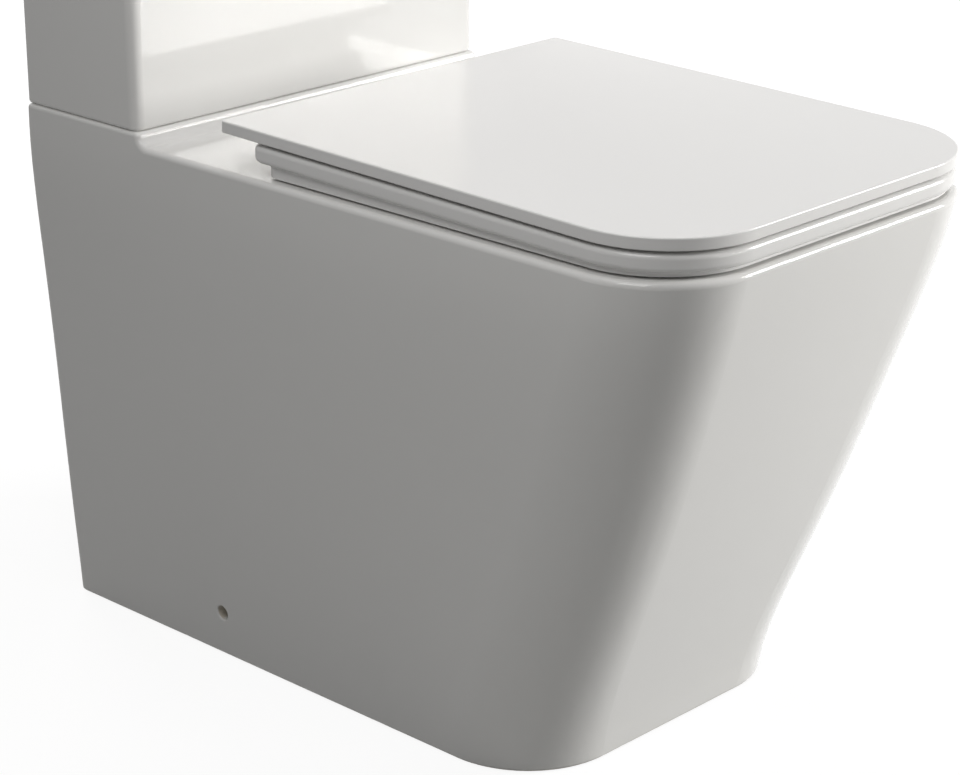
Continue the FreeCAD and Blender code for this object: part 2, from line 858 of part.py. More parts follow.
def make_half_slider():
    """Slider that the half-flush rocker lifts."""
    bottom = tower_top - slider_length
    body = make_stem(bottom)
    collar_bottom = tower_top + rest_gap
    x = -rod_spacing / 2
    body = body.fuse(disc(x, stem_distance, collar_bottom, collar_bottom + slider_collar_height,
                          stem_head_diameter))
    body = body.fuse(disc(x, stem_distance, bottom, bottom + slider_foot_height, slider_foot_diameter))
    return about_valve(body.removeSplitter())


def make_fill_stem():
    """Threaded tail, flange, riser and float stop of the fill valve in one piece."""
    shank_bottom = platform_top - fill_nut_height
    bottom = shank_bottom - tail_length
    flange_low = floor_top + seal_thickness
    riser_low = flange_low + fill_flange_height
    stop_top = floor_top + float_seat_height
    body = disc(-fill_offset, tank_middle, bottom, shank_bottom, tail_diameter)
    body = body.fuse(disc(-fill_offset, tank_middle, shank_bottom, flange_low, shank_diameter))
    body = body.fuse(disc(-fill_offset, tank_middle, flange_low, riser_low, fill_flange_diameter))
    body = body.fuse(disc(-fill_offset, tank_middle, riser_low, riser_top, riser_diameter))
    body = body.fuse(disc(-fill_offset, tank_middle, stop_top - float_stop_height, stop_top,
                          riser_diameter + 2 * float_stop_width))
    body = body.cut(disc(-fill_offset, tank_middle, bottom, riser_top, fill_bore))
    return body.removeSplitter()


def make_fill_nut():
    """Hexagonal back nut under the tank."""
    body = hexagon(-fill_offset, tank_middle, platform_top - fill_nut_height, platform_top, fill_nut_flats)
    return body.cut(disc(-fill_offset, tank_middle, platform_top - fill_nut_height, platform_top,
                         shank_diameter + 2 * fixed_fit))


def make_fill_head():
    """Round head with two ears for the lever."""
    body = disc(-fill_offset, tank_middle, riser_top, head_top, fill_head_diameter)
    near = fill_lever_width / 2 + ear_gap
    far = near + fill_ear_thickness
    x0 = fill_pivot_x - ear_depth / 2
    x1 = fill_pivot_x + ear_depth / 2
    low = head_top - ear_depth / 2
    high = fill_pivot_z + ear_depth / 2
    body = body.fuse(block(x0, x1, tank_middle - far, tank_middle - near, low, high))
    body = body.fuse(block(x0, x1, tank_middle + near, tank_middle + far, low, high))
    body = body.cut(bar_y(fill_pivot_x, tank_middle - far, tank_middle + far, fill_pivot_z,
                          fill_pin_diameter + 2 * fixed_fit))
    return body.removeSplitter()


def make_fill_pin():
    """Pin of the fill valve's lever."""
    far = fill_lever_width / 2 + ear_gap + fill_ear_thickness
    return bar_y(fill_pivot_x, tank_middle - far, tank_middle + far, fill_pivot_z, fill_pin_diameter)


def make_fill_lever():
    """Lever that the float lifts, modelled level and lowered to the empty position."""
    half = fill_lever_thickness / 2
    near = tank_middle - fill_lever_width / 2
    far = tank_middle + fill_lever_width / 2
    body = block(link_x - fill_arm_end, fill_pivot_x + fill_arm_tail, near, far,
                 fill_pivot_z - half, fill_pivot_z + half)
    body = body.fuse(bar_y(fill_pivot_x, near, far, fill_pivot_z, rocker_hub_diameter))
    body = body.cut(bar_y(fill_pivot_x, near, far, fill_pivot_z, fill_pin_diameter + 2 * pivot_fit))
    body = body.removeSplitter()
    drop = math.degrees(float_travel / fill_arm)
    body.rotate(Vector(fill_pivot_x, y_at(tank_middle), fill_pivot_z), Vector(0, 1, 0), -drop)
    return body


def make_fill_float():
    """Float on the riser with an ear for its link rod."""
    body = disc(-fill_offset, tank_middle, float_bottom, float_top, float_diameter)
    edges = flat_edges(body, float_top) + flat_edges(body, float_bottom)
    body = body.makeFillet(float_edge_radius, edges)
    ear_top = float_top - float_edge_radius
    ear = block(link_x - link_diameter, -fill_offset, tank_middle - link_diameter,
                tank_middle + link_diameter, ear_top - float_ear_thickness, ear_top)
    body = body.fuse(ear)
    bore = riser_diameter + 2 * float_bore_gap
    body = body.cut(disc(-fill_offset, tank_middle, float_bottom, float_top, bore))
    return body.removeSplitter()


def make_link():
    """Rod that stands on the float's ear and lifts the lever."""
    top = fill_pivot_z - fill_lever_thickness / 2 - float_travel - link_gap
    return disc(link_x, tank_middle, float_top - float_edge_radius, top, link_diameter)


def make_coupling_bolt():
    """Bolt with its head inside the tank."""
    head_low = floor_top + rubber_washer_height
    body = disc(bolt_offset, tank_middle, bolt_end, head_low, bolt_diameter)
    head = hexagon(bolt_offset, tank_middle, head_low, head_low + bolt_head_height, bolt_head_flats)
    return body.fuse(head).removeSplitter()


def make_wing_nut():
    """Wing nut under the platform."""
    low = wing_nut_top - wing_nut_height
    body = disc(bolt_offset, tank_middle, low, wing_nut_top, wing_nut_diameter)
    half = wing_span / 2
    wings_top = low + wing_nut_height / 2
    wings = block(bolt_offset - half, bolt_offset + half, tank_middle - wing_thickness / 2,
                  tank_middle + wing_thickness / 2, wings_top - wing_height, wings_top)
    body = body.fuse(wings)
    return body.cut(disc(bolt_offset, tank_middle, low - wing_height, wing_nut_top,
                         bolt_diameter + 2 * fixed_fit)).removeSplitter()


def make_hinge_post():
    """Upright block that holds the ring pin."""
    half = post_depth / 2
    low = deck_height + hinge_disc_height
    body = block(post_x0, post_x1, hinge_distance - half, hinge_distance + half, low, hinge_z)
    body = body.fuse(bar_x(post_x0, post_x1, hinge_distance, hinge_z, knuckle_diameter))
    body = body.cut(bar_x(post_x0 + pin_wall, post_x1, hinge_distance, hinge_z,
                          hinge_pin_diameter + 2 * fixed_fit))
    body = body.cut(disc(hinge_spacing / 2, hinge_distance, low, low + stud_grip,
                         stud_diameter + 2 * fixed_fit))
    return body.removeSplitter()


def make_hinge_nut():
    """Hexagonal nut under the deck."""
    low = deck_under - hinge_nut_height
    body = hexagon(hinge_spacing / 2, hinge_distance, low, deck_under, hinge_nut_flats)
    return body.cut(disc(hinge_spacing / 2, hinge_distance, low, deck_under, stud_diameter + 2 * fixed_fit))


def make_ring_arm():
    """Arm set into the ring, bored from both ends for the ring pin and the lid pin."""
    half = knuckle_diameter / 2
    body = bar_x(arm_x0, arm_x1, hinge_distance, hinge_z, knuckle_diameter)
    body = body.fuse(block(arm_x0, arm_x1, hinge_distance, hinge_distance + ring_arm_reach,
                           hinge_z - half, hinge_z))
    body = body.cut(bar_x(arm_x0, arm_middle - pin_web / 2, hinge_distance, hinge_z,
                          hinge_pin_diameter + 2 * hinge_pin_fit))
    body = body.cut(bar_x(arm_middle + pin_web / 2, arm_x1, hinge_distance, hinge_z,
                          hinge_pin_diameter + 2 * fixed_fit))
    return sloped(body.removeSplitter())


def make_lid_lug():
    """Lug under the lid, bored for the lid pin."""
    half = knuckle_diameter / 2
    body = bar_x(lug_x0, lug_x1, hinge_distance, hinge_z, knuckle_diameter)
    body = body.fuse(block(lug_x0, lug_x1, hinge_distance - half, hinge_distance + half, hinge_z, lid_bottom))
    body = body.cut(bar_x(lug_x0, lug_x1 - pin_wall, hinge_distance, hinge_z,
                          hinge_pin_diameter + 2 * hinge_pin_fit))
    return sloped(body.removeSplitter())


def lid_pad_places():
    """Middle of each pad under the lid."""
    x = seat_width / 2 - lid_pad_inset
    rear = lid_rear_distance + lid_pad_rear_inset
    front = seat_reach - lid_pad_front_inset
    return [(-x, rear), (x, rear), (-x, front), (x, front)]


def make_lid():
    """Flat lid with soft edges and shallow seats for its pads."""
    body = plate(seat_width / 2, lid_rear_distance, seat_reach, lid_rear_radius, seat_front_radius,
                 lid_bottom, lid_top)
    body = body.makeFillet(lid_top_radius, flat_edges(body, lid_top))
    body = body.makeFillet(lid_under_radius, flat_edges(body, lid_bottom))
    for x, distance in lid_pad_places():
        body = body.cut(disc(x, distance, lid_bottom, lid_bottom + lid_pad_depth, lid_pad_diameter))
    return sloped(body)


def make_lid_pads():
    """Soft pads between lid and ring."""
    low = lid_bottom - ring_gap + pad_gap
    pads = []
    for x, distance in lid_pad_places():
        pads.append(sloped(disc(x, distance, low, lid_bottom + lid_pad_depth, lid_pad_diameter)))
    return Part.makeCompound(pads)


def ring_pad_blocks(bottom):
    """Footprints of the pads under the ring, from a level up to their seats."""
    x = seat_width / 2 - ring_pad_inset
    half = ring_pad_width / 2
    top = skirt_bottom + ring_pad_depth
    pads = []
    rear = ring_rear_distance + ring_pad_rear_inset
    front = seat_reach - ring_pad_front_inset
    reach = ring_pad_length / 2
    for middle in (rear, front):
        for side in (-x, x):
            pads.append(block(side - half, side + half, middle - reach, middle + reach, bottom, top))
    return pads


def make_ring():
    """Seat ring with rounded edges and a set-back skirt underneath."""
    half = seat_width / 2 - ring_inset
    front = seat_reach - ring_inset
    radius = seat_front_radius - ring_inset
    body = plate(half, ring_rear_distance, front, ring_rear_radius, radius, ring_bottom, ring_top)
    body = body.makeFillet(ring_edge_radius, flat_edges(body, ring_top) + flat_edges(body, ring_bottom))
    open_half = half - ring_side_width
    open_rear = ring_rear_distance + ring_back_width
    open_front = front - ring_front_width
    opening_radius = (min(2 * open_half, open_front - open_rear) - ring_opening_straight) / 2
    opening = plate(open_half, open_rear, open_front, opening_radius, opening_radius,
                    ring_bottom - ring_thickness, ring_top + ring_thickness)
    body = body.cut(opening)
    inner_edges = [edge for edge in flat_edges(body, ring_top) if inside_opening(edge, open_rear, open_front)]
    body = body.makeFillet(ring_edge_radius, inner_edges)
    notch = block(arm_x0 - ring_arm_fit, arm_x1 + ring_arm_fit, hinge_distance,
                  hinge_distance + ring_arm_reach + ring_arm_fit, ring_bottom - ring_arm_fit,
                  hinge_z + ring_arm_fit)
    body = body.cut(notch).cut(mirrored(notch))
    skirt_low = ring_bottom - hinge_height
    skirt = plate(half - skirt_inset, ring_rear_distance + skirt_rear_inset, front - skirt_inset,
                  ring_rear_radius - skirt_inset / 2, radius - skirt_inset, skirt_low, ring_bottom)
    inner_radius = opening_radius + skirt_inset
    inner = plate(open_half + skirt_inset, open_rear - skirt_inset, open_front + skirt_inset,
                  inner_radius, inner_radius, skirt_low, ring_bottom)
    body = sloped(body.fuse(skirt.cut(inner)).removeSplitter())
    below = block(-seat_width, seat_width, 0, pan_reach * 2, 0, skirt_bottom)
    body = body.cut(below)
    for pocket in ring_pad_blocks(skirt_bottom):
        body = body.cut(pocket)
    return body


def inside_opening(edge, rear, front):
    """Whether an edge of the ring's top belongs to its opening."""
    box = edge.BoundBox
    wide = max(abs(box.XMin), abs(box.XMax)) < seat_width / 2 - ring_side_width / 2
    deep = box.YMax < y_at(rear) + same_place and box.YMin > y_at(front) - same_place
    return wide and deep


def mouth_edges(body):
    """Edges of the deck round the mouth of the bowl."""
    found = []
    for edge in flat_edges(body, deck_height):
        box = edge.BoundBox
        if max(abs(box.XMin), abs(box.XMax)) < bowl_mouth_width / 2 + mouth_edge_radius:
            if box.YMax < y_at(bowl_mouth_rear) + mouth_edge_radius:
                found.append(edge)
    return found


os.makedirs("parts", exist_ok=True)

save(make_pan(), "pan")
save(make_bowl_china(), "bowl")
save(make_tank(), "tank")
save(pipe(0, tank_middle, platform_top - gasket_height, platform_top, gasket_diameter, gasket_bore),
     "coupling_gasket")
save(pair(make_coupling_bolt()), "coupling_bolts")
save(pair(pipe(bolt_offset, tank_middle, floor_top, floor_top + rubber_washer_height, rubber_washer_diameter,
               bolt_diameter + 2 * fixed_fit)), "bolt_rubber_washers")
save(pair(pipe(bolt_offset, tank_middle, deck_under - steel_washer_height, deck_under, steel_washer_diameter,
               bolt_diameter + 2 * fixed_fit)), "bolt_steel_washers")
save(pair(make_wing_nut()), "wing_nuts")

save(make_valve_base(), "flush_valve_base")
save(pipe(0, tank_middle, floor_top, floor_top + seal_thickness, flange_diameter,
          spigot_diameter + 2 * fixed_fit), "flush_valve_seal")
save(pipe(0, tank_middle, platform_top - valve_nut_height, platform_top, valve_nut_diameter,
          spigot_diameter + 2 * fixed_fit), "flush_valve_nut")
save(make_tower(), "flush_valve_tower")
rocker_pin = make_rocker_pin()
save(Part.makeCompound([rocker_pin, about_valve(rocker_pin)]), "rocker_pins")
rocker = make_rocker()
save(rocker, "full_flush_rocker")
save(about_valve(rocker), "half_flush_rocker")
save(make_lift_tube(), "lift_tube")
save(pipe(0, tank_middle, washer_bottom, washer_bottom + washer_height, plunger_diameter,
          lift_tube_diameter + 2 * fixed_fit), "lift_tube_washer")
save(make_valve_float(), "valve_float")
save(make_stem(valve_float_top - stem_seat_depth), "lift_stem")
save(make_half_slider(), "half_flush_slider")

save(make_fill_stem(), "fill_valve_stem")
save(pipe(-fill_offset, tank_middle, floor_top, floor_top + seal_thickness, fill_flange_diameter,
          shank_diameter + 2 * fixed_fit), "fill_valve_washer")
save(make_fill_nut(), "fill_valve_nut")
save(make_fill_head(), "fill_valve_head")
save(make_fill_pin(), "fill_lever_pin")
save(make_fill_lever(), "fill_lever")
save(make_fill_float(), "fill_float")
save(make_link(), "float_link")

save(make_cover(), "cistern_cover")
save(make_bezel(), "button_bezel")
save(make_bezel_nut(), "button_nut")
split = button_split_offset
save(make_button(-bezel_bore, split - button_gap / 2), "full_flush_button")
save(make_button(split + button_gap / 2, bezel_bore), "half_flush_button")
save(make_rod(-rod_spacing / 2), "full_flush_rod")
save(make_rod(rod_spacing / 2), "half_flush_rod")

save(pair(pipe(hinge_spacing / 2, hinge_distance, deck_height, deck_height + hinge_disc_height,
               hinge_disc_diameter, stud_diameter + 2 * fixed_fit)), "hinge_discs")
save(pair(make_hinge_post()), "hinge_posts")
save(pair(bar_x(post_x0 + pin_wall, arm_middle - pin_web / 2 - pin_end_gap, hinge_distance, hinge_z,
                hinge_pin_diameter)), "ring_pins")
save(pair(disc(hinge_spacing / 2, hinge_distance, deck_height - stud_length,
               deck_height + hinge_disc_height + stud_grip, stud_diameter)), "hinge_studs")
save(pair(pipe(hinge_spacing / 2, hinge_distance, deck_under, deck_height,
               stud_hole_diameter - 2 * sleeve_fit, stud_diameter + 2 * fixed_fit)), "hinge_sleeves")
save(pair(make_hinge_nut()), "hinge_nuts")

save(make_ring(), "seat_ring")
save(Part.makeCompound(ring_pad_blocks(deck_height + pad_gap)), "ring_pads")
save(pair(make_ring_arm()), "ring_hinge_arms")
save(pair(bar_x(arm_middle + pin_web / 2, lug_x1 - pin_wall - pin_end_gap, hinge_distance, hinge_z,
                hinge_pin_diameter)), "lid_pins")
save(make_lid(), "seat_lid")
save(make_lid_pads(), "lid_pads")
save(pair(make_lid_lug()), "lid_hinge_lugs")
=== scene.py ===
# %% [markdown]
# # A floor-standing toilet in white china
#
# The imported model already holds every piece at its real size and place. This lesson dresses it: a
# camera at the photograph's point of view, a plain pale studio, a finish for each material, and a few
# small pieces whose form is finer than the model's. The frame is loaded first, because everything else
# is placed by it.

# %% Load the frame
import json
import math

import bmesh
import bpy
from mathutils import Matrix, Vector


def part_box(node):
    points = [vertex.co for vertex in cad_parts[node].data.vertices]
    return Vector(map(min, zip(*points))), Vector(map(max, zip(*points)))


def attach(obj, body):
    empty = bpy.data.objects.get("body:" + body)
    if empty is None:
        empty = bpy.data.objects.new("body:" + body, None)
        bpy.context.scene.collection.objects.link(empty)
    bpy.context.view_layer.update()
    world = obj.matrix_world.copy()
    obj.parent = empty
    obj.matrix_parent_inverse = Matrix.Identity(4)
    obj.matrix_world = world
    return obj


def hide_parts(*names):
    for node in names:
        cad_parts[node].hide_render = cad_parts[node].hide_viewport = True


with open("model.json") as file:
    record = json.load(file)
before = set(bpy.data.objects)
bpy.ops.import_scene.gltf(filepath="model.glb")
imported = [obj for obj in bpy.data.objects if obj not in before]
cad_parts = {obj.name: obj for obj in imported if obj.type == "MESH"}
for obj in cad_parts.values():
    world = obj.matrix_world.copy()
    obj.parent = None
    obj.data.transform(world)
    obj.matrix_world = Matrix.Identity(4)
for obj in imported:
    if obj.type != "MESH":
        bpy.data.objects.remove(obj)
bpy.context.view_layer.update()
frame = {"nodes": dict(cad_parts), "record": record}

scene = bpy.context.scene

# %% [markdown]
# ## The camera
#
# The straight edges of the pan and the cistern fix the camera: it looks down a little from the front
# left with a long lens. A camera could be moved by eye, but one worked out from the edges makes the
# render lie on the photograph, so that shapes can be compared point by point.

# %% Camera
camera_turn = math.radians(46.35)
camera_dip = math.radians(20.34)
camera_place = (-1.5025, -1.4176, 0.9915)
sensor_width = 36.0
lens_length = 105.5


def aim(thing, direction):
    """Turn a camera or a lamp, which look along their own -Z, to a direction."""
    thing.rotation_mode = "QUATERNION"
    thing.rotation_quaternion = direction.to_track_quat("-Z", "Y")


gaze = Vector((
    math.sin(camera_turn) * math.cos(camera_dip),
    math.cos(camera_turn) * math.cos(camera_dip),
    -math.sin(camera_dip),
))
camera_data = bpy.data.cameras.new("photo_camera")
camera_data.sensor_width = sensor_width
camera_data.lens = lens_length
camera = bpy.data.objects.new("photo_camera", camera_data)
camera.location = camera_place
aim(camera, gaze)
scene.collection.objects.link(camera)
scene.camera = camera
scene.view_settings.view_transform = "Standard"
print("camera looks along", [round(v, 3) for v in gaze])

# %% [markdown]
# ## The sky
#
# White china on a white ground needs light that models the form, and a sky that shines white from all
# round would flatten it. So the sky has two strengths, mixed by the kind of ray: white where it is seen,
# straight or in a mirror or glass, and weak where it only lights the object. The floor is made in the
# same way, so the mix is a helper that both use.

# %% Helpers for node trees
def add_node(tree, kind, x, y, **values):
    """New node at a place in the tree, with its input sockets set by name."""
    node = tree.nodes.new(kind)
    node.location = (x, y)
    for name, value in values.items():
        node.inputs[name.replace("_", " ")].default_value = value
    return node


def add_math(tree, operation, x, y, first, second, clamp=False):
    """Result of a sum of the given kind on two sockets."""
    node = add_node(tree, "ShaderNodeMath", x, y)
    node.operation = operation
    node.use_clamp = clamp
    tree.links.new(first, node.inputs[0])
    tree.links.new(second, node.inputs[1])
    return node.outputs[0]


# %% Helpers for what is seen and what gives light
def seen_by_eye(tree):
    """Socket that is 1 for camera, mirror and glass rays, and 0 for the rays that carry soft light."""
    path = add_node(tree, "ShaderNodeLightPath", -700, 300).outputs
    eye = add_math(tree, "ADD", -500, 300, path["Is Camera Ray"], path["Is Glossy Ray"], clamp=True)
    return add_math(tree, "ADD", -320, 300, eye, path["Is Transmission Ray"], clamp=True)


def show_or_light(tree, seen, soft, out_kind):
    """Lead one shader to the rays that are seen, and another to the rays that carry soft light."""
    mix = add_node(tree, "ShaderNodeMixShader", 100, 60)
    out = add_node(tree, out_kind, 300, 60)
    tree.links.new(seen_by_eye(tree), mix.inputs[0])
    tree.links.new(soft.outputs[0], mix.inputs[1])
    tree.links.new(seen.outputs[0], mix.inputs[2])
    tree.links.new(mix.outputs[0], out.inputs["Surface"])


# %% Sky
plain_white = (1.0, 1.0, 1.0, 1.0)
seen_strength, light_strength = 1.0, 0.05
sky = bpy.data.worlds.new("studio_sky")
sky.use_nodes = True
sky_tree = sky.node_tree
sky_tree.nodes.clear()
soft_sky = add_node(sky_tree, "ShaderNodeBackground", -200, 100, Color=plain_white, Strength=light_strength)
white_sky = add_node(sky_tree, "ShaderNodeBackground", -200, -60, Color=plain_white, Strength=seen_strength)
show_or_light(sky_tree, white_sky, soft_sky, "ShaderNodeOutputWorld")
scene.world = sky
print("sky strength", seen_strength, "where it is seen,", light_strength, "as light")

# %% [markdown]
# ## The floor
#
# The floor is one wide square, a hair below the foot so that the two faces don't fight. Where it is seen
# it glows, and a dark diffuse layer on top of the glow takes the shadow. The glow is a little weaker near
# the pan: there glow and lamplight add up to white, and the shadow stays below it. As a source of light
# the floor is a plain grey, so that it doesn't brighten the slanting front from below.

# %% Floor plane
floor_reach = 14.0
floor_drop = 0.0004
floor_mesh = bpy.data.meshes.new("floor")
floor_mesh.from_pydata(
    [(x * floor_reach, y * floor_reach, -floor_drop) for x, y in ((-1, -1), (1, -1), (1, 1), (-1, 1))],
    [], [(0, 1, 2, 3)])
floor = bpy.data.objects.new("floor", floor_mesh)
scene.collection.objects.link(floor)
print("floor", 2 * floor_reach, "m square")

# %% Floor paint
near_floor, far_floor = 0.4, 2.0
near_glow, far_glow = 0.90, 1.0
light_grey = (0.40, 0.40, 0.395, 1.0)
shadow_grey = (0.15, 0.15, 0.15, 1.0)
floor_paint = bpy.data.materials.new("pale_floor")
floor_paint.use_nodes = True
floor_tree = floor_paint.node_tree
floor_tree.nodes.clear()
floor_soft = add_node(floor_tree, "ShaderNodeBsdfDiffuse", -300, 100, Color=light_grey)
floor_shade = add_node(floor_tree, "ShaderNodeBsdfDiffuse", -300, -40, Color=shadow_grey)
floor_glow = add_node(floor_tree, "ShaderNodeEmission", -300, -180, Color=plain_white)
floor_where = add_node(floor_tree, "ShaderNodeTexCoord", -1100, -300)
floor_away = add_node(floor_tree, "ShaderNodeVectorMath", -900, -300)
floor_away.operation = "LENGTH"
floor_fade = add_node(floor_tree, "ShaderNodeMapRange", -700, -300, From_Min=near_floor, From_Max=far_floor,
                      To_Min=near_glow, To_Max=far_glow)
floor_seen = add_node(floor_tree, "ShaderNodeAddShader", -100, -100)
floor_tree.links.new(floor_where.outputs["Object"], floor_away.inputs[0])
floor_tree.links.new(floor_away.outputs["Value"], floor_fade.inputs["Value"])
floor_tree.links.new(floor_fade.outputs[0], floor_glow.inputs["Strength"])
floor_tree.links.new(floor_shade.outputs[0], floor_seen.inputs[0])
floor_tree.links.new(floor_glow.outputs[0], floor_seen.inputs[1])
show_or_light(floor_tree, floor_seen, floor_soft, "ShaderNodeOutputMaterial")
floor_mesh.materials.append(floor_paint)
print("floor glow", near_glow, "near the pan,", far_glow, "from", far_floor, "m on")

# %% [markdown]
# ## The lamps
#
# One broad lamp stands low and well to the right of the front, so that the front is bright, the side
# that faces the camera stays in soft grey, and the rounded front corner turns from one to the other. A
# weaker one overhead lights the lid, a small one above the left keeps the grey side from going flat, and
# one behind shows the back. A point lamp would give hard shadows, so all are square soft boxes.

# %% Lamps
lamp_aim = Vector((0.0, -0.05, 0.3))


def add_lamp(name, place, size, power, tint):
    """Square soft box that looks at the middle of the pan."""
    data = bpy.data.lights.new(name, "AREA")
    data.shape = "SQUARE"
    data.size = size
    data.energy = power
    data.color = tint
    lamp = bpy.data.objects.new(name, data)
    lamp.location = place
    aim(lamp, lamp_aim - lamp.location)
    scene.collection.objects.link(lamp)
    return lamp


lamps = [
    add_lamp("key_lamp", place=(1.88, -1.68, 0.90), size=0.9, power=58.0, tint=(1.0, 0.99, 0.97)),
    add_lamp("top_lamp", place=(-0.10, 0.10, 2.00), size=1.0, power=7.6, tint=(1.0, 0.985, 0.985)),
    add_lamp("fill_lamp", place=(-0.85, -0.42, 1.40), size=0.6, power=5.4, tint=(1.0, 0.995, 0.985)),
    add_lamp("back_lamp", place=(0.90, 2.20, 1.60), size=1.2, power=20.0, tint=(1.0, 0.995, 0.985)),
]
print("lamps", {lamp.name: round(lamp.data.energy, 1) for lamp in lamps})

# %% [markdown]
# ## Finishes that several materials share
#
# Fired glaze, moulded plastic and turned metal each have their own small unevenness. Each is made once
# as a node group and placed in every material that needs it, with that material's own values. The
# groups only put out colours, roughness and height: the shader itself stays in the material, where the
# values that are the same all over are set on its own sockets.

# %% Helpers for nodes inside a group
noise_roughness = 0.55
# Numbers of a Mix node's colour sockets: it has a set of sockets for each kind of data.
mix_factor, mix_first, mix_second, mix_result = 0, 6, 7, 2


def feed(tree, socket, value):
    """Give an input socket a number, or a link from another socket."""
    if isinstance(value, float):
        socket.default_value = value
    else:
        tree.links.new(value, socket)


def add_noise(tree, x, y, coordinates, scale, detail):
    """Noise on the given coordinates, with the scale in waves for each metre."""
    noise = add_node(tree, "ShaderNodeTexNoise", x, y, Detail=detail, Roughness=noise_roughness)
    tree.links.new(coordinates, noise.inputs["Vector"])
    feed(tree, noise.inputs["Scale"], scale)
    return noise.outputs[0]


def scaled(tree, x, y, value, low, high):
    """Value from 0 to 1 spread between two numbers or sockets."""
    spread = add_node(tree, "ShaderNodeMapRange", x, y)
    tree.links.new(value, spread.inputs["Value"])
    feed(tree, spread.inputs["To Min"], low)
    feed(tree, spread.inputs["To Max"], high)
    return spread.outputs[0]


def blended(tree, x, y, factor, first, second):
    """Colour between two colour sockets."""
    mix = add_node(tree, "ShaderNodeMix", x, y)
    mix.data_type = "RGBA"
    tree.links.new(factor, mix.inputs[mix_factor])
    tree.links.new(first, mix.inputs[mix_first])
    tree.links.new(second, mix.inputs[mix_second])
    return mix.outputs[mix_result]


# %% Helpers for whole groups
surface_inputs = [
    ("Tone", "NodeSocketColor", (0.8, 0.8, 0.8, 1.0)),
    ("Second tone", "NodeSocketColor", (0.78, 0.78, 0.78, 1.0)),
    ("Smooth", "NodeSocketFloat", 0.1),
    ("Rough", "NodeSocketFloat", 0.2),
    ("Scale", "NodeSocketFloat", 400.0),
]
surface_outputs = [
    ("Color", "NodeSocketColor"),
    ("Roughness", "NodeSocketFloat"),
    ("Height", "NodeSocketFloat"),
]


def new_group(name, inputs):
    """Shader node group with named inputs and the three outputs of a surface, and its two end nodes."""
    group = bpy.data.node_groups.new(name, "ShaderNodeTree")
    for label, kind, value in inputs:
        socket = group.interface.new_socket(name=label, in_out="INPUT", socket_type=kind)
        socket.default_value = value
    for label, kind in surface_outputs:
        group.interface.new_socket(name=label, in_out="OUTPUT", socket_type=kind)
    return group, add_node(group, "NodeGroupInput", -1100, 0), add_node(group, "NodeGroupOutput", 500, 0)


def wandering_tone(group, start, patch):
    """Colour that wanders between a material's two tones."""
    return blended(group, 0, 250, patch, start.outputs["Tone"], start.outputs["Second tone"])


def wandering_gloss(group, start, patch):
    """Roughness that wanders between a material's smoothest and roughest."""
    return scaled(group, -400, 50, patch, start.outputs["Smooth"], start.outputs["Rough"])


def lead_out(group, end, color, roughness, height):
    """Lead the results of a surface group to its outputs."""
    for name, result in (("Color", color), ("Roughness", roughness), ("Height", height)):
        group.links.new(result, end.inputs[name])
    print("group", group.name, len(group.nodes), "nodes")


# %% [markdown]
# Glaze is poured and fired, so its tone wanders slowly over a hand's width and its surface carries a
# faint ripple, like the peel of an orange. A slow noise moves the tone and the gloss, and a fine and a
# broad noise added together give the height.

# %% Glaze
drift_scale, wave_scale = 7.0, 28.0
wave_height = 6.0
glaze, glaze_in, glaze_out = new_group("poured_glaze", surface_inputs)
glaze_place = add_node(glaze, "ShaderNodeTexCoord", -1100, -300).outputs["Object"]
glaze_drift = add_noise(glaze, -800, 250, glaze_place, drift_scale, detail=2.0)
glaze_peel = add_noise(glaze, -800, -50, glaze_place, glaze_in.outputs["Scale"], detail=1.0)
glaze_wave = add_noise(glaze, -800, -350, glaze_place, wave_scale, detail=0.0)
glaze_tone = wandering_tone(glaze, glaze_in, glaze_drift)
glaze_gloss = wandering_gloss(glaze, glaze_in, glaze_drift)
glaze_swell = scaled(glaze, -400, -350, glaze_wave, 0.0, wave_height)
glaze_height = add_math(glaze, "ADD", 0, -200, glaze_peel, glaze_swell)
lead_out(glaze, glaze_out, glaze_tone, glaze_gloss, glaze_height)

# %% [markdown]
# Moulded plastic and rubber copy the fine spark texture of their tool, and pick up slightly different
# gloss where they were handled. One fine noise serves the height, a medium one the tone and gloss.

# %% Moulded surface
patch_scale = 32.0
mould, mould_in, mould_out = new_group("moulded_surface", surface_inputs)
mould_place = add_node(mould, "ShaderNodeTexCoord", -1100, -300).outputs["Object"]
mould_patch = add_noise(mould, -800, 250, mould_place, patch_scale, detail=4.0)
mould_spark = add_noise(mould, -800, -100, mould_place, mould_in.outputs["Scale"], detail=3.0)
mould_tone = wandering_tone(mould, mould_in, mould_patch)
mould_gloss = wandering_gloss(mould, mould_in, mould_patch)
lead_out(mould, mould_out, mould_tone, mould_gloss, mould_spark)

# %% [markdown]
# Metal parts are turned or drawn, which leaves fine lines that run round or along them. A noise that is
# stretched strongly gives such lines. Here it is stretched sideways and left fine in height, so the
# lines run round upright bolts and studs.

# %% Turned metal
line_stretch = (0.05, 0.05, 1.0)
stain_scale = 45.0
turned, turned_in, turned_out = new_group("turned_metal", surface_inputs)
turned_place = add_node(turned, "ShaderNodeTexCoord", -1300, -300).outputs["Object"]
turned_long = add_node(turned, "ShaderNodeMapping", -1100, -300, Scale=line_stretch)
turned.links.new(turned_place, turned_long.inputs["Vector"])
turned_lines = add_noise(turned, -800, -100, turned_long.outputs[0], turned_in.outputs["Scale"], detail=2.0)
turned_stain = add_noise(turned, -800, 250, turned_place, stain_scale, detail=3.0)
turned_tone = wandering_tone(turned, turned_in, turned_stain)
turned_gloss = wandering_gloss(turned, turned_in, turned_lines)
lead_out(turned, turned_out, turned_tone, turned_gloss, turned_lines)

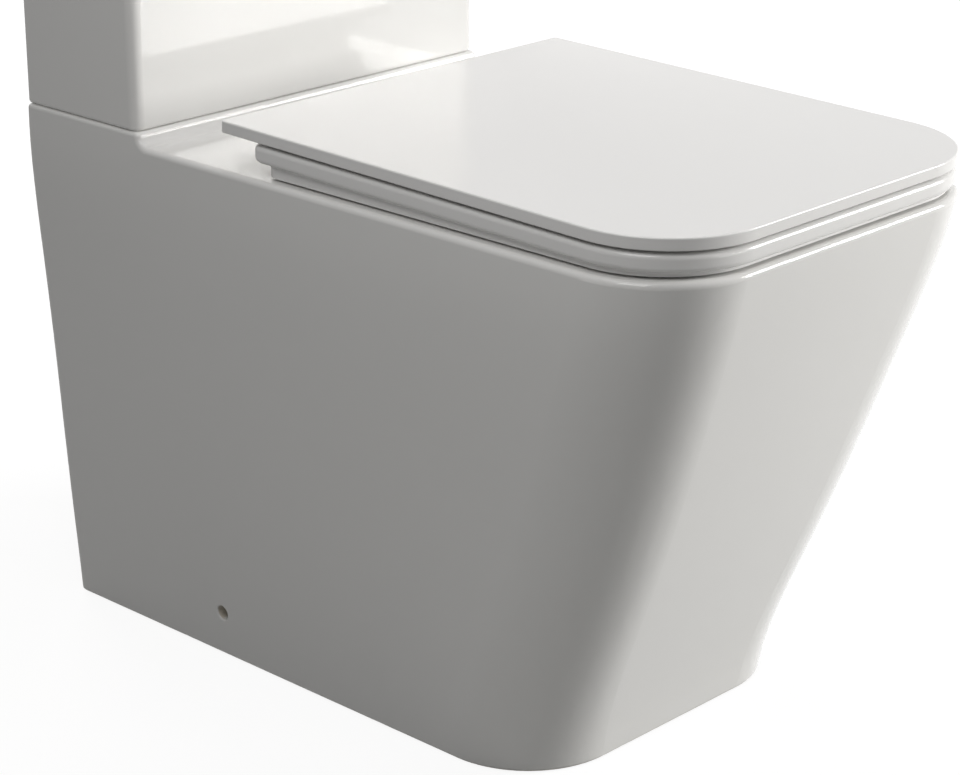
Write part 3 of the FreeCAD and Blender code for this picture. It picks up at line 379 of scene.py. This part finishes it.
# %% [markdown]
# ## The materials
#
# Every material is one Principled shader fed by one of the groups, so a function builds it and each
# material is one call with its own values. The numbers are a pair of tones, the gloss from smoothest to
# roughest, the scale of the fine texture and its depth in metres.

# %% Material builder
def place_group(tree, group, x, y):
    """Node that holds a group."""
    holder = add_node(tree, "ShaderNodeGroup", x, y)
    holder.node_tree = group
    return holder


def lead_in(tree, surface):
    """Lead colour, roughness and height from a group's node to the material's shader and bump."""
    shader = tree.nodes["Principled BSDF"]
    tree.links.new(surface.outputs["Color"], shader.inputs["Base Color"])
    tree.links.new(surface.outputs["Roughness"], shader.inputs["Roughness"])
    tree.links.new(surface.outputs["Height"], tree.nodes["Bump"].inputs["Height"])


def make_finish(name, group, tone, second_tone, smooth, rough, scale, bump_depth, **fixed):
    """Principled material that takes colour, roughness and bump from a group."""
    material = bpy.data.materials.new(name)
    material.use_nodes = True
    tree = material.node_tree
    shader = tree.nodes["Principled BSDF"]
    bump = add_node(tree, "ShaderNodeBump", -250, -200, Strength=1.0, Distance=bump_depth)
    tree.links.new(bump.outputs["Normal"], shader.inputs["Normal"])
    surface = place_group(tree, group, -900, 200)
    surface.name = "surface"
    surface.inputs["Tone"].default_value = (*tone, 1.0)
    surface.inputs["Second tone"].default_value = (*second_tone, 1.0)
    surface.inputs["Smooth"].default_value = smooth
    surface.inputs["Rough"].default_value = rough
    surface.inputs["Scale"].default_value = scale
    lead_in(tree, surface)
    for socket, value in fixed.items():
        shader.inputs[socket.replace("_", " ")].default_value = value
    return material


# %% [markdown]
# The china of the pan and the cistern has a hard, smooth glaze with a sharp gloss. The seat is pressed
# from a hard plastic of nearly the same white, a little softer in gloss and flatter, so it can use the
# glaze's group with other values.

# %% China and seat
glaze_depth = 0.000012


def make_china(name):
    """White glazed china."""
    return make_finish(name, glaze, tone=(0.87, 0.865, 0.85), second_tone=(0.855, 0.85, 0.832),
                       smooth=0.06, rough=0.11, scale=620.0, bump_depth=glaze_depth, Specular_IOR_Level=0.42)


china = make_china("white_china")
seat = make_finish("pressed_seat", glaze, tone=(0.87, 0.865, 0.855), second_tone=(0.86, 0.853, 0.842),
                   smooth=0.17, rough=0.23, scale=900.0, bump_depth=0.000006)
print("made", china.name, seat.name)

# %% [markdown]
# The buttons and the posts of the hinges are chrome plated: bright, with hardly a line. Pins, studs and
# washers are drawn steel, and the cistern bolts are brass: both are duller, with plain turning marks.

# %% Metals
turning_scale, turning_depth = 3000.0, 0.000008
chrome = make_finish("plated_chrome", turned, tone=(0.62, 0.63, 0.64), second_tone=(0.57, 0.58, 0.595),
                     smooth=0.05, rough=0.10, scale=900.0, bump_depth=0.000002, Metallic=1.0)
stainless = make_finish("drawn_steel", turned, tone=(0.60, 0.60, 0.61), second_tone=(0.54, 0.54, 0.55),
                        smooth=0.22, rough=0.38, scale=turning_scale, bump_depth=turning_depth, Metallic=1.0)
brass = make_finish("bare_brass", turned, tone=(0.70, 0.52, 0.25), second_tone=(0.56, 0.40, 0.19),
                    smooth=0.25, rough=0.42, scale=turning_scale, bump_depth=turning_depth, Metallic=1.0)
print("made", chrome.name, stainless.name, brass.name)

# %% [markdown]
# The valves inside the cistern are plain mouldings in white, grey and blue, which helps the fitter tell
# them apart. Their tools were sparked alike, so they share the scale and the depth of the texture.

# %% Plastics
spark_scale, spark_depth = 2600.0, 0.00002
white_plastic = make_finish("white_moulding", mould, tone=(0.82, 0.83, 0.82), second_tone=(0.78, 0.79, 0.78),
                            smooth=0.32, rough=0.44, scale=spark_scale, bump_depth=spark_depth)
grey_plastic = make_finish("grey_moulding", mould, tone=(0.50, 0.52, 0.53), second_tone=(0.45, 0.47, 0.48),
                           smooth=0.34, rough=0.48, scale=spark_scale, bump_depth=spark_depth)
blue_plastic = make_finish("blue_moulding", mould, tone=(0.16, 0.33, 0.58), second_tone=(0.13, 0.28, 0.52),
                           smooth=0.32, rough=0.46, scale=spark_scale, bump_depth=spark_depth)
print("made", white_plastic.name, grey_plastic.name, blue_plastic.name)

# %% [markdown]
# Seals are black rubber, the ring under the cistern is a sponge full of small cells, and the seat's
# buffers are a pale soft rubber. The moulded surface serves them too, with a coarser and deeper texture.

# %% Rubbers
rubber = make_finish("black_rubber", mould, tone=(0.035, 0.035, 0.036), second_tone=(0.06, 0.06, 0.06),
                     smooth=0.55, rough=0.75, scale=1800.0, bump_depth=0.00004)
sponge = make_finish("sponge_rubber", mould, tone=(0.07, 0.07, 0.075), second_tone=(0.03, 0.03, 0.03),
                     smooth=0.8, rough=0.95, scale=900.0, bump_depth=0.0004)
soft_pad = make_finish("clear_grey_rubber", mould, tone=(0.66, 0.67, 0.67), second_tone=(0.58, 0.59, 0.60),
                       smooth=0.38, rough=0.52, scale=1500.0, bump_depth=0.00003)
finishes = {
    "china": china, "seat_plastic": seat, "chrome": chrome, "stainless": stainless, "brass": brass,
    "rubber": rubber, "sponge": sponge, "soft_pad": soft_pad, "white_plastic": white_plastic,
    "grey_plastic": grey_plastic, "blue_plastic": blue_plastic,
}
print("finishes", len(finishes))

# %% [markdown]
# ## Bare clay
#
# China is glazed where it is seen and touched. The foot, the edges that meet the wall and the hollow
# inside stay bare: the fired clay shows there, matt and a little cream. The clay is a group that lies
# over the glaze, and a mask says where. A mask painted by hand would be lost with the next mesh, so it
# is worked out from the place and the direction of the surface.

# %% Clay
cloud_scale, grain_scale = 22.0, 1400.0
grain_height = 12.0
clay_roughness = 0.82
clay, clay_in, clay_out = new_group("bare_clay", [
    ("Mask", "NodeSocketFloat", 0.0),
    ("Color", "NodeSocketColor", (0.8, 0.8, 0.8, 1.0)),
    ("Roughness", "NodeSocketFloat", 0.1),
    ("Height", "NodeSocketFloat", 0.0),
    ("Pale clay", "NodeSocketColor", (0.74, 0.70, 0.63, 1.0)),
    ("Dark clay", "NodeSocketColor", (0.64, 0.59, 0.51, 1.0)),
])
clay_given = clay_in.outputs
clay_place = add_node(clay, "ShaderNodeTexCoord", -1100, -300).outputs["Object"]
clay_cloud = add_noise(clay, -800, 250, clay_place, cloud_scale, detail=6.0)
clay_grain = add_noise(clay, -800, -100, clay_place, grain_scale, detail=2.0)
clay_tone = blended(clay, -300, 250, clay_cloud, clay_given["Pale clay"], clay_given["Dark clay"])
clay_rise = scaled(clay, -500, -300, clay_grain, 0.0, grain_height)
clay_mixed = blended(clay, 100, 250, clay_given["Mask"], clay_given["Color"], clay_tone)
clay_rough = scaled(clay, 100, 0, clay_given["Mask"], clay_given["Roughness"], clay_roughness)
clay_height = scaled(clay, 100, -250, clay_given["Mask"], clay_given["Height"], clay_rise)
lead_out(clay, clay_out, clay_mixed, clay_rough, clay_height)


# %% Masks from place and direction
def axes_of(tree, vector):
    """X, Y and Z of a vector socket."""
    split = add_node(tree, "ShaderNodeSeparateXYZ", -2100, 0)
    tree.links.new(vector, split.inputs[0])
    return split.outputs


def risen(tree, value, start, end):
    """Mask that goes from 0 at one value to 1 at another."""
    ramp = add_node(tree, "ShaderNodeMapRange", -1600, 0, From_Min=start, From_Max=end)
    tree.links.new(value, ramp.inputs["Value"])
    return ramp.outputs[0]


def either(tree, first, second):
    """Mask that is 1 where one of two masks is."""
    return add_math(tree, "MAXIMUM", -1400, 0, first, second)


def both(tree, first, second):
    """Mask that is 1 where two masks are."""
    return add_math(tree, "MULTIPLY", -1400, -200, first, second)


def outward(tree, where, axis_y):
    """How far the surface faces away from an upright axis on the middle plane."""
    arm = add_node(tree, "ShaderNodeVectorMath", -1900, 300)
    arm.operation = "SUBTRACT"
    arm.inputs[1].default_value = (0.0, axis_y, 0.0)
    level = add_node(tree, "ShaderNodeVectorMath", -1800, 300)
    level.operation = "MULTIPLY"
    level.inputs[1].default_value = (1.0, 1.0, 0.0)
    turn = add_node(tree, "ShaderNodeVectorMath", -1700, 300)
    turn.operation = "DOT_PRODUCT"
    tree.links.new(where["Object"], arm.inputs[0])
    tree.links.new(arm.outputs[0], level.inputs[0])
    tree.links.new(level.outputs[0], turn.inputs[0])
    tree.links.new(where["Normal"], turn.inputs[1])
    return turn.outputs["Value"]


# %% Clay over glaze
def lay_bare(material, mask):
    """Put bare clay where the mask is 1."""
    tree = material.node_tree
    surface = tree.nodes["surface"]
    cover = place_group(tree, clay, -550, 200)
    for name in ("Color", "Roughness", "Height"):
        tree.links.new(surface.outputs[name], cover.inputs[name])
    tree.links.new(mask, cover.inputs["Mask"])
    lead_in(tree, cover)


# %% [markdown]
# The pan is bare at its foot, at the edges against the wall, and inside, below the deck: there the
# surface faces an upright axis in the hollow, or looks straight down. Each mask runs from where the glaze
# is still whole to where the clay is bare, in metres or in the measure of the direction.

# %% Pan with a bare foot, wall edges and inside
foot_glazed, foot_bare = 0.0022, 0.0012
wall_glazed, wall_bare = 0.0030, 0.0018
hollow_axis = 0.1
inner_glazed, inner_bare = -0.005, -0.02
under_glazed, under_bare = -0.75, -0.85
deck_glazed, deck_bare = 0.0006, 0.0001
wall_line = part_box("pan")[1].y
deck_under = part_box("hinge_nuts")[1].z
pan_china = make_china("pan_china")
pan_tree = pan_china.node_tree
pan_where = add_node(pan_tree, "ShaderNodeTexCoord", -2300, 0).outputs
pan_place = axes_of(pan_tree, pan_where["Object"])
pan_facing = axes_of(pan_tree, pan_where["Normal"])
pan_foot = risen(pan_tree, pan_place["Z"], foot_glazed, foot_bare)
pan_back = risen(pan_tree, pan_place["Y"], wall_line - wall_glazed, wall_line - wall_bare)
pan_inner = risen(pan_tree, outward(pan_tree, pan_where, hollow_axis), inner_glazed, inner_bare)
pan_under = risen(pan_tree, pan_facing["Z"], under_glazed, under_bare)
pan_low = risen(pan_tree, pan_place["Z"], deck_under + deck_glazed, deck_under + deck_bare)
pan_inside = both(pan_tree, either(pan_tree, pan_inner, pan_under), pan_low)
pan_edges = either(pan_tree, pan_foot, pan_back)
lay_bare(pan_china, either(pan_tree, pan_inside, pan_edges))
print("deck underside at", round(deck_under, 4))

# %% [markdown]
# The bowl is the other way round: glazed inside, where the water runs, and bare outside. Everything
# behind it, the trap and the outlet, is bare too.

# %% Bowl that is glazed only inside
bowl_axis = -0.147
outer_glazed, outer_bare = 0.0, 0.01
rear_glazed, rear_bare = 0.0, 0.004
bowl_low, bowl_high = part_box("bowl")
bowl_china = make_china("bowl_china")
bowl_tree = bowl_china.node_tree
bowl_where = add_node(bowl_tree, "ShaderNodeTexCoord", -2300, 0).outputs
bowl_place = axes_of(bowl_tree, bowl_where["Object"])
bowl_outer = risen(bowl_tree, outward(bowl_tree, bowl_where, bowl_axis), outer_glazed, outer_bare)
bowl_rear = risen(bowl_tree, bowl_place["Y"], rear_glazed, rear_bare)
lay_bare(bowl_china, either(bowl_tree, bowl_outer, bowl_rear))
print("bowl reaches", round(bowl_low.y, 3), "to", round(bowl_high.y, 3))

# %% [markdown]
# ## Dressing the frame
#
# The record says which material slot each node has. The pan and the bowl take their own china, and every
# other node takes the finish that stands for its slot, so no piece keeps a plain colour.

# %% Dress the pieces of the frame
slot_of = {row["node"]: row["material_slot"] for row in frame["record"]["subparts"]}
own_finish = {"pan": pan_china, "bowl": bowl_china}
for node, piece in frame["nodes"].items():
    for holder in piece.material_slots:
        holder.material = own_finish.get(node, finishes[slot_of[node]])
print("dressed", len(slot_of), "nodes")

# %% [markdown]
# ## Soft buffers of the seat
#
# Four soft blocks keep the ring off the china, and four round ones keep the lid off the ring. They are
# moulded with rounded edges, and the round ones have a small dimple where the tool pushed them out. Each
# is built where the frame holds its plain solid, and takes its place. So the first helper measures the
# separate solids of a node, and the second makes a finished mesh into a piece.

# %% Boxes of separate solids
weld_gap = 0.00001


def loose_boxes(node):
    """Lowest and highest corner of each separate solid in a node, from left to right."""
    shape = bmesh.new()
    shape.from_mesh(frame["nodes"][node].data)
    bmesh.ops.remove_doubles(shape, verts=shape.verts, dist=weld_gap)
    boxes = []
    for first in shape.verts:
        if first.tag:
            continue
        first.tag = True
        pile = [first]
        points = []
        while pile:
            vert = pile.pop()
            points.append(vert.co.copy())
            for edge in vert.link_edges:
                other = edge.other_vert(vert)
                if not other.tag:
                    other.tag = True
                    pile.append(other)
        low_corner = Vector([min(point[axis] for point in points) for axis in range(3)])
        high_corner = Vector([max(point[axis] for point in points) for axis in range(3)])
        boxes.append((low_corner, high_corner))
    shape.free()
    return sorted(boxes, key=lambda box: (round(box[0].x, 4), round(box[0].y, 4)))


# %% New pieces
crease_angle = math.radians(40)


def add_piece(name, shape, body, slot):
    """Smooth-shaded piece that rides on a body with the finish of a slot."""
    mesh = bpy.data.meshes.new(name)
    bmesh.ops.recalc_face_normals(shape, faces=shape.faces)
    shape.to_mesh(mesh)
    shape.free()
    mesh.materials.append(finishes[slot])
    mesh.set_sharp_from_angle(angle=crease_angle)
    piece = bpy.data.objects.new(name, mesh)
    scene.collection.objects.link(piece)
    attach(piece, body)
    return piece


# %% [markdown]
# The blocks under the ring start as boxes of the solids' size. A bevel with several segments rounds
# their upright edges, and a second one the edge round the foot, which leaves the top flat on the ring.

# %% Buffers under the ring
round_share = 0.35
corner_steps, foot_steps = 6, 4
arc_profile = 0.5
facing_down = -0.9


def once(items):
    """List of the items without repeats, always in the same order, which a set would not keep."""
    return list(dict.fromkeys(items))


ring_buffers = bmesh.new()
for low_corner, high_corner in loose_boxes("ring_pads"):
    size = high_corner - low_corner
    spot = Matrix.Translation((low_corner + high_corner) / 2) @ Matrix.Diagonal((*size, 1.0))
    made = bmesh.ops.create_cube(ring_buffers, size=1.0, matrix=spot)
    upright = once(edge for vert in made["verts"] for edge in vert.link_edges
                   if abs(edge.verts[0].co.z - edge.verts[1].co.z) > size.z / 2)
    rounded = bmesh.ops.bevel(ring_buffers, geom=upright, offset=size.x * round_share,
                              segments=corner_steps, affect="EDGES", profile=arc_profile)
    faces = once(face for vert in rounded["verts"] for face in vert.link_faces)
    foot = once(edge for face in faces if face.normal.z < facing_down for edge in face.edges)
    bmesh.ops.bevel(ring_buffers, geom=foot, offset=size.z * round_share,
                    segments=foot_steps, affect="EDGES", profile=arc_profile)
ring_buffer_piece = add_piece("ring_buffers", ring_buffers, "ring", "soft_pad")
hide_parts("ring_pads")
print("ring buffers", len(ring_buffer_piece.data.polygons), "faces")

# %% [markdown]
# The round buffers are turned: an outline of radius and height pairs is carried round an axis. Blender's
# screw modifier could do that, but a short function also closes the ends on the axis neatly. The buffers
# stand square to the lid, which slopes a little, so they are tilted with it.

# %% Lathe
arc_steps = 4


def lathe(shape, profile, turn, steps):
    """Radius and height pairs turned about Z, then moved by a matrix; points on the axis become poles."""
    rings = []
    for step in range(steps):
        angle = 2 * math.pi * step / steps
        ring = []
        for radius, height in profile:
            place = turn @ Vector((radius * math.cos(angle), radius * math.sin(angle), height))
            ring.append(shape.verts.new(place))
        rings.append(ring)
    for step in range(steps):
        ring = rings[step]
        following = rings[(step + 1) % steps]
        for index in range(len(profile)):
            after = (index + 1) % len(profile)
            if profile[index][0] or profile[after][0]:
                shape.faces.new((ring[index], following[index], following[after], ring[after]))
    for index, (radius, _) in enumerate(profile):
        if not radius:
            bmesh.ops.remove_doubles(shape, verts=[ring[index] for ring in rings], dist=weld_gap)


def quarter_arc(wide, high, size, start, way):
    """Radius and height pairs on a quarter circle from a start in degrees, turning left (1) or right (-1)."""
    turns = [math.radians(start + way * 90 * step / arc_steps) for step in range(arc_steps + 1)]
    return [(wide + size * math.cos(turn), high + size * math.sin(turn)) for turn in turns]


# %% Buffers under the lid
facing_up = 0.9
lid_buffer_edge = 0.0008
dimple_depth = 0.0003
dimple_mouth, dimple_floor = 0.4, 0.33
lid_buffer_steps = 40
lid_faces = frame["nodes"]["seat_lid"].data.polygons
lid_up = max(lid_faces, key=lambda face: face.area if face.normal.z > facing_up else 0.0).normal
lid_tilt = math.atan2(-lid_up.y, lid_up.z)
lid_buffers = bmesh.new()
for low_corner, high_corner in loose_boxes("lid_pads"):
    radius = (high_corner.x - low_corner.x) / 2
    half = (high_corner.z - low_corner.z - 2 * radius * abs(math.sin(lid_tilt))) / 2
    profile = [(0.0, half), (radius, half)]
    profile += quarter_arc(radius - lid_buffer_edge, lid_buffer_edge - half, lid_buffer_edge, start=0, way=-1)
    profile += [(radius * dimple_mouth, -half), (radius * dimple_floor, dimple_depth - half),
                (0.0, dimple_depth - half)]
    turn = Matrix.Translation((low_corner + high_corner) / 2) @ Matrix.Rotation(lid_tilt, 4, "X")
    lathe(lid_buffers, profile, turn, lid_buffer_steps)
lid_buffer_piece = add_piece("lid_buffers", lid_buffers, "lid", "soft_pad")
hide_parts("lid_pads")
print("lid slopes", round(math.degrees(lid_tilt), 2), "degrees")

# %% [markdown]
# ## Foam ring under the cistern
#
# The ring that seals the cistern on the pan is cut from closed-cell foam, and its edges swell a little
# under load. A turned ring with well rounded edges shows that better than the plain tube of the frame.
# Its outline is four quarter arcs, one at each corner of the tube's section.

# %% Foam ring
foam_round = 0.002
foam_steps = 72
foam_low, foam_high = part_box("coupling_gasket")
foam_middle = (foam_low + foam_high) / 2
foam_outer = (foam_high.x - foam_low.x) / 2
foam_points = [vert.co - foam_middle for vert in frame["nodes"]["coupling_gasket"].data.vertices]
foam_inner = min(math.hypot(point.x, point.y) for point in foam_points)
foam_half = (foam_high.z - foam_low.z) / 2
foam_profile = []
for across, up, start in ((1, 1, 0), (-1, 1, 90), (-1, -1, 180), (1, -1, 270)):
    wide = (foam_outer if across > 0 else foam_inner) - across * foam_round
    foam_profile += quarter_arc(wide, up * (foam_half - foam_round), foam_round, start, way=1)
foam_ring = bmesh.new()
lathe(foam_ring, list(reversed(foam_profile)), Matrix.Translation(foam_middle), foam_steps)
foam_piece = add_piece("foam_ring", foam_ring, "pan_and_cistern", "sponge")
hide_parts("coupling_gasket")
print("foam ring", round(foam_inner, 4), "to", round(foam_outer, 4))

# %% [markdown]
# ## Screw threads
#
# The water inlet, the cistern bolts and the hinge studs end in threads below their nuts. A thread is one
# ridge that winds up the bolt. A bump would show no outline, so the ridge is a small mesh: a section with
# a flat crest and two slanting flanks, carried round a helix and fading at both ends.

# %% Thread ridges
thread_steps = 28
fade_steps = 10
crest_share = 0.22
crest_half, root_half = 0.08, 0.42
root_depth = 0.0001


def add_thread(shape, box, high_end, radius, pitch):
    """Ridge of a right-hand thread on an upright shank, from the bottom of its box to a height."""
    middle = (box[0] + box[1]) / 2
    low_end = box[0].z
    count = int((high_end - low_end - pitch) / pitch * thread_steps)
    rows = []
    for step in range(count + 1):
        angle = 2 * math.pi * step / thread_steps
        crest = crest_share * pitch * min(1.0, step / fade_steps, (count - step) / fade_steps)
        height = low_end + pitch / 2 + pitch * step / thread_steps
        row = []
        for reach, rise in ((-root_depth, -root_half), (crest, -crest_half), (crest, crest_half),
                            (-root_depth, root_half)):
            x = middle.x + (radius + reach) * math.cos(angle)
            y = middle.y + (radius + reach) * math.sin(angle)
            row.append(shape.verts.new((x, y, height + rise * pitch)))
        rows.append(row)
    for row, following in zip(rows, rows[1:]):
        for index in range(len(row)):
            after = (index + 1) % len(row)
            shape.faces.new((row[index], following[index], following[after], row[after]))
    shape.faces.new(rows[0])
    shape.faces.new(rows[-1])


# %% Threads of the hinge studs and the cistern bolts
stud_pitch = 0.001
bolt_pitch = 0.00125
bolt_radius = 0.004
bolt_tail = 0.006
nut_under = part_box("hinge_nuts")[0].z
stud_threads = bmesh.new()
for stud in loose_boxes("hinge_studs"):
    add_thread(stud_threads, stud, nut_under, (stud[1].x - stud[0].x) / 2, stud_pitch)
add_piece("stud_threads", stud_threads, "pan_and_cistern", slot_of["hinge_studs"])
bolt_threads = bmesh.new()
for bolt in loose_boxes("coupling_bolts"):
    add_thread(bolt_threads, bolt, bolt[0].z + bolt_tail, bolt_radius, bolt_pitch)
add_piece("bolt_threads", bolt_threads, "pan_and_cistern", slot_of["coupling_bolts"])
print("stud threads end at", round(nut_under, 4))

# %% Thread of the water inlet
inlet_pitch = 0.001814
inlet_radius = 0.0103
inlet_length = 0.0295
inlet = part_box("fill_valve_stem")
inlet_thread = bmesh.new()
add_thread(inlet_thread, inlet, inlet[0].z + inlet_length, inlet_radius, inlet_pitch)
add_piece("inlet_thread", inlet_thread, "pan_and_cistern", slot_of["fill_valve_stem"])
print("inlet thread from", round(inlet[0].z, 4), "up")
